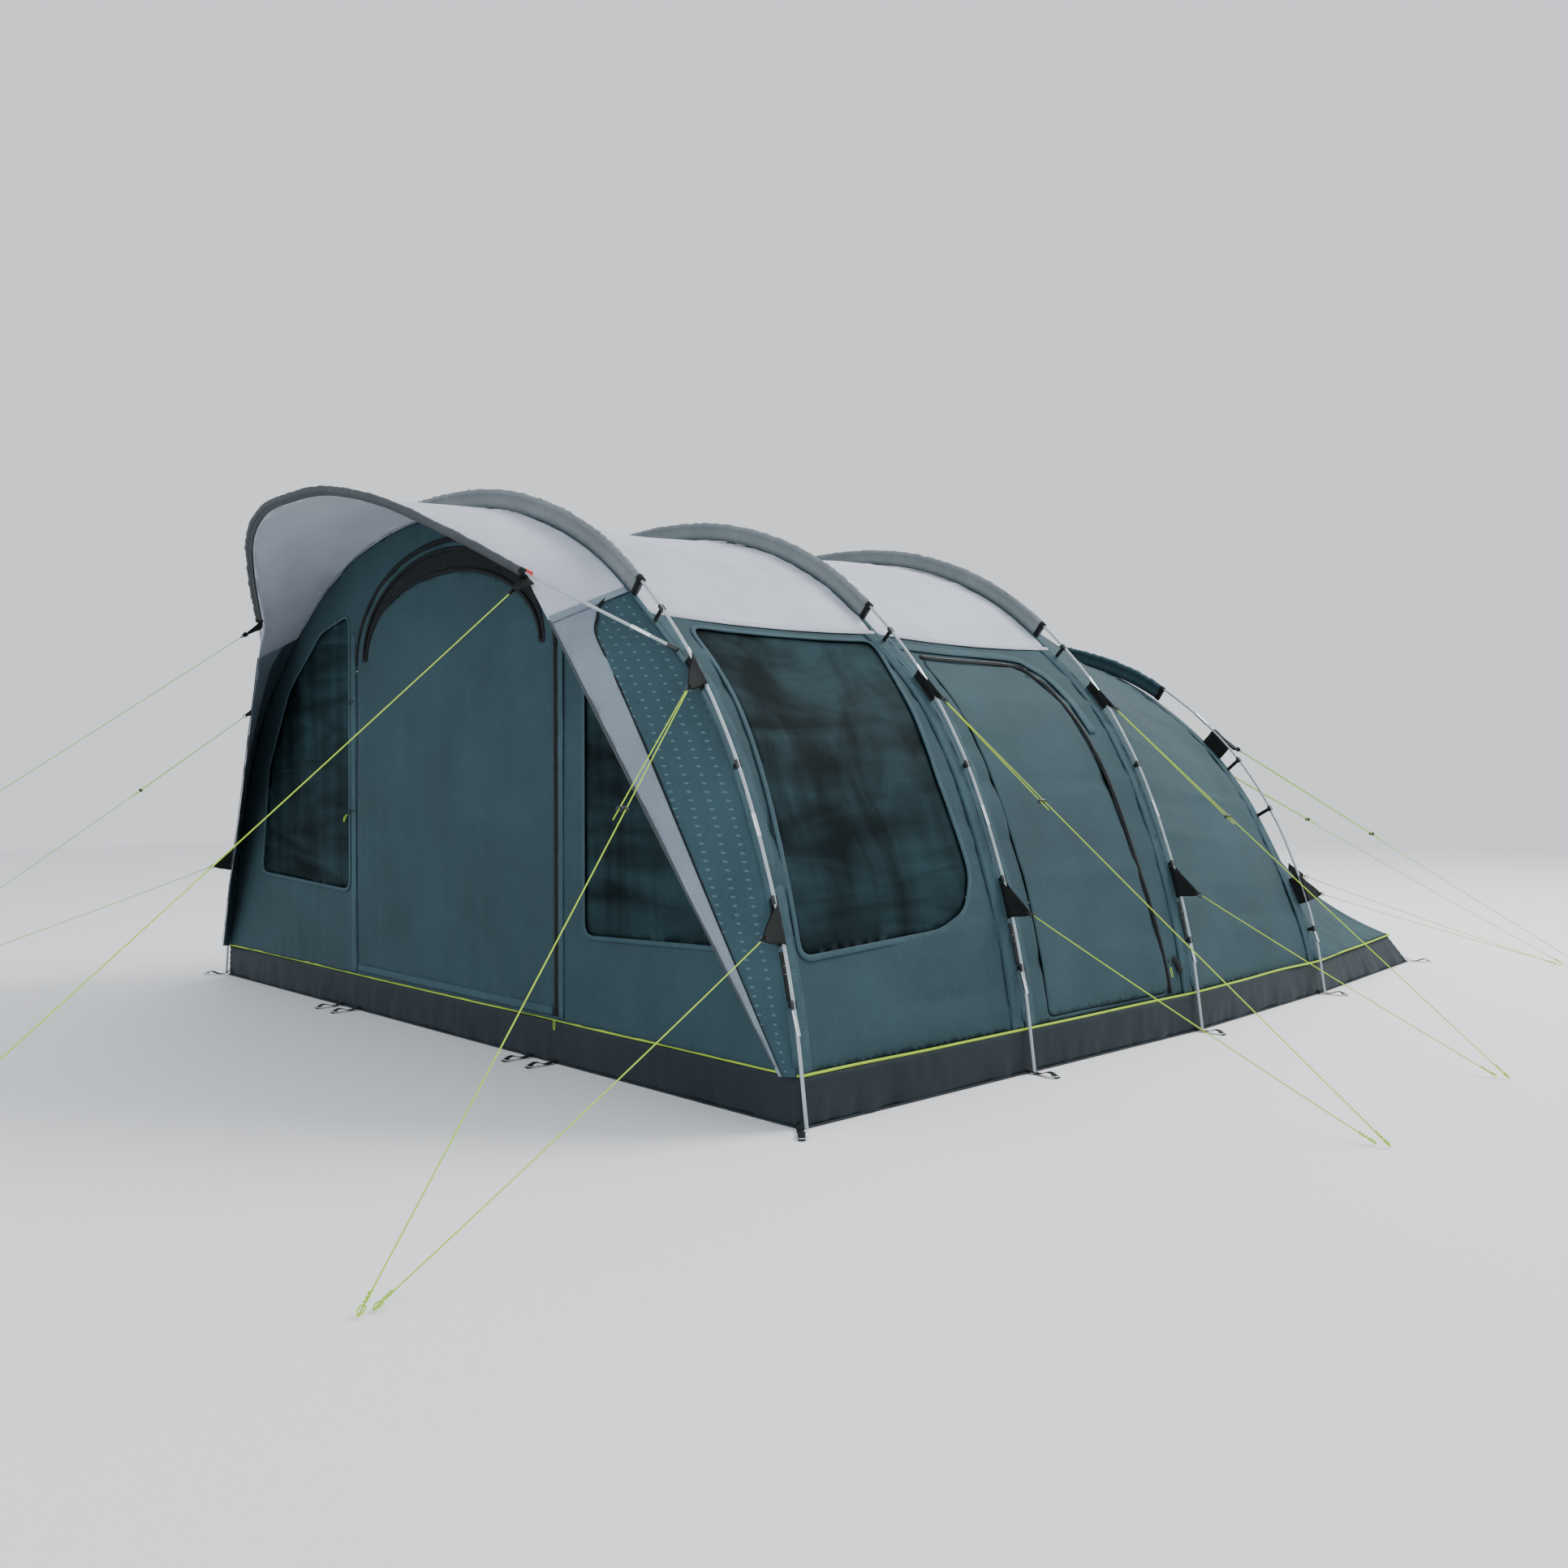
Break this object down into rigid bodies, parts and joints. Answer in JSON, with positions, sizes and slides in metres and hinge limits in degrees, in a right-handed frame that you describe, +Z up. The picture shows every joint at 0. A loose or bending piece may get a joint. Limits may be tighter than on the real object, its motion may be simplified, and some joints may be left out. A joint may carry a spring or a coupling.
{
  "type": "tent on poles",
  "caption": "Family tunnel tent on bent poles, with a forward-leaning porch, a lower sloping tail, tinted windows, zipped front and side doors and taut guylines.",
  "frame": {"origin": "on the ground, under the middle of the tent's length and width without its guylines", "axes": "+Z up, the front door faces -Y, the side door is on the +X side"},
  "size_m": [5.8047, 7.7322, 2.115],
  "materials": {
    "pole": "glass-fibre rod with plain metal ferrules",
    "pole_sleeve": "woven polyester, matt",
    "flysheet": "coated woven polyester, matt",
    "roof_cloth": "coated woven polyester, matt",
    "porch_hem": "woven polyester, matt",
    "window_film": "tinted soft film, glossy",
    "vent_mesh": "fine knitted mesh",
    "skirt_cloth": "coated cloth, satin",
    "groundsheet": "woven polyethylene, satin",
    "inner_cloth": "breathable polyester, matt",
    "guyline": "braided cord",
    "fitting": "moulded, satin"
  },
  "bodies": {
    "tent": {"pole_front": "pole", "pole_middle": "pole", "pole_rear": "pole", "pole_tail": "pole", "pole_porch": "pole", "sleeve_front": "pole_sleeve", "sleeve_middle": "pole_sleeve", "sleeve_rear": "pole_sleeve", "sleeve_tail": "flysheet", "sleeve_porch": "porch_hem", "wall_front_right": "flysheet", "wall_front_left": "flysheet", "side_window_right": "window_film", "side_window_left": "window_film", "wall_middle_right": "flysheet", "wall_middle_left": "flysheet", "roof_front": "roof_cloth", "roof_middle": "roof_cloth", "shell_rear_bay": "flysheet", "shell_tail": "flysheet", "porch_roof": "roof_cloth", "wing_right": "flysheet", "wing_left": "flysheet", "front_wall": "flysheet", "front_window_left": "window_film", "front_window_right": "window_film", "skirt": "skirt_cloth", "groundsheet_floor": "groundsheet", "groundsheet_rim_front": "groundsheet", "groundsheet_rim_back": "groundsheet", "groundsheet_rim_right": "groundsheet", "groundsheet_rim_left": "groundsheet", "bedroom": "inner_cloth", "guyline_front_right_upper": "guyline", "guyline_front_right_lower": "guyline", "guyline_front_left_upper": "guyline", "guyline_front_left_lower": "guyline", "guyline_middle_right_upper": "guyline", "guyline_middle_right_lower": "guyline", "guyline_rear_right_upper": "guyline", "guyline_rear_right_lower": "guyline", "guyline_tail_right_upper": "guyline", "guyline_tail_right_lower": "guyline", "guyline_back_right_upper": "guyline", "guyline_back_right_lower": "guyline", "guyline_porch_right": "guyline", "guyline_porch_left": "guyline"},
    "front_door": {"front_door": "flysheet", "front_door_vent": "vent_mesh"},
    "side_door": {"side_door": "flysheet"},
    "front_zip_slider": {"front_door_slider": "fitting"},
    "side_zip_slider": {"side_door_slider": "fitting"},
    "line_runner_front_right": {"runner_front_right_upper": "fitting"},
    "line_runner_front_left": {"runner_front_left_upper": "fitting"},
    "line_runner_middle_right": {"runner_middle_right_upper": "fitting"},
    "line_runner_rear_right": {"runner_rear_right_upper": "fitting"},
    "line_runner_tail_right": {"runner_tail_right_upper": "fitting"},
    "line_runner_back_right": {"runner_back_right_upper": "fitting"}
  },
  "joints": [
    {"name": "front_door_hinge", "type": "hinge", "parent": "tent", "child": "front_door", "pos_m": [-0.667, -2.1217, 1], "axis": [0, 0, -1], "range_deg": [0, 75]},
    {"name": "side_door_hinge", "type": "hinge", "parent": "tent", "child": "side_door", "pos_m": [2.1506, -0.8767, 0.2208], "axis": [0.4186, 0, -0.9082], "range_deg": [0, 60]},
    {"name": "front_zip", "type": "slide", "parent": "tent", "child": "front_zip_slider", "axis": [0, 0, 1], "range_m": [0, 1.2]},
    {"name": "side_zip", "type": "slide", "parent": "tent", "child": "side_zip_slider", "axis": [-0.2139, 0, 0.9769], "range_m": [0, 0.15]},
    {"name": "tension_front_right", "type": "slide", "parent": "tent", "child": "line_runner_front_right", "axis": [0.3856, -0.6991, -0.6021], "range_m": [-0.12, 0.12]},
    {"name": "tension_front_left", "type": "slide", "parent": "tent", "child": "line_runner_front_left", "axis": [-0.3856, -0.6991, -0.6021], "range_m": [-0.12, 0.12]},
    {"name": "tension_middle_right", "type": "slide", "parent": "tent", "child": "line_runner_middle_right", "axis": [0.7836, -0.0228, -0.6209], "range_m": [-0.12, 0.12]},
    {"name": "tension_rear_right", "type": "slide", "parent": "tent", "child": "line_runner_rear_right", "axis": [0.7684, -0.0085, -0.6399], "range_m": [-0.12, 0.12]},
    {"name": "tension_tail_right", "type": "slide", "parent": "tent", "child": "line_runner_tail_right", "axis": [0.488, 0.7109, -0.5064], "range_m": [-0.12, 0.12]},
    {"name": "tension_back_right", "type": "slide", "parent": "tent", "child": "line_runner_back_right", "axis": [0.5244, 0.703, -0.4804], "range_m": [-0.12, 0.12]}
  ]
}
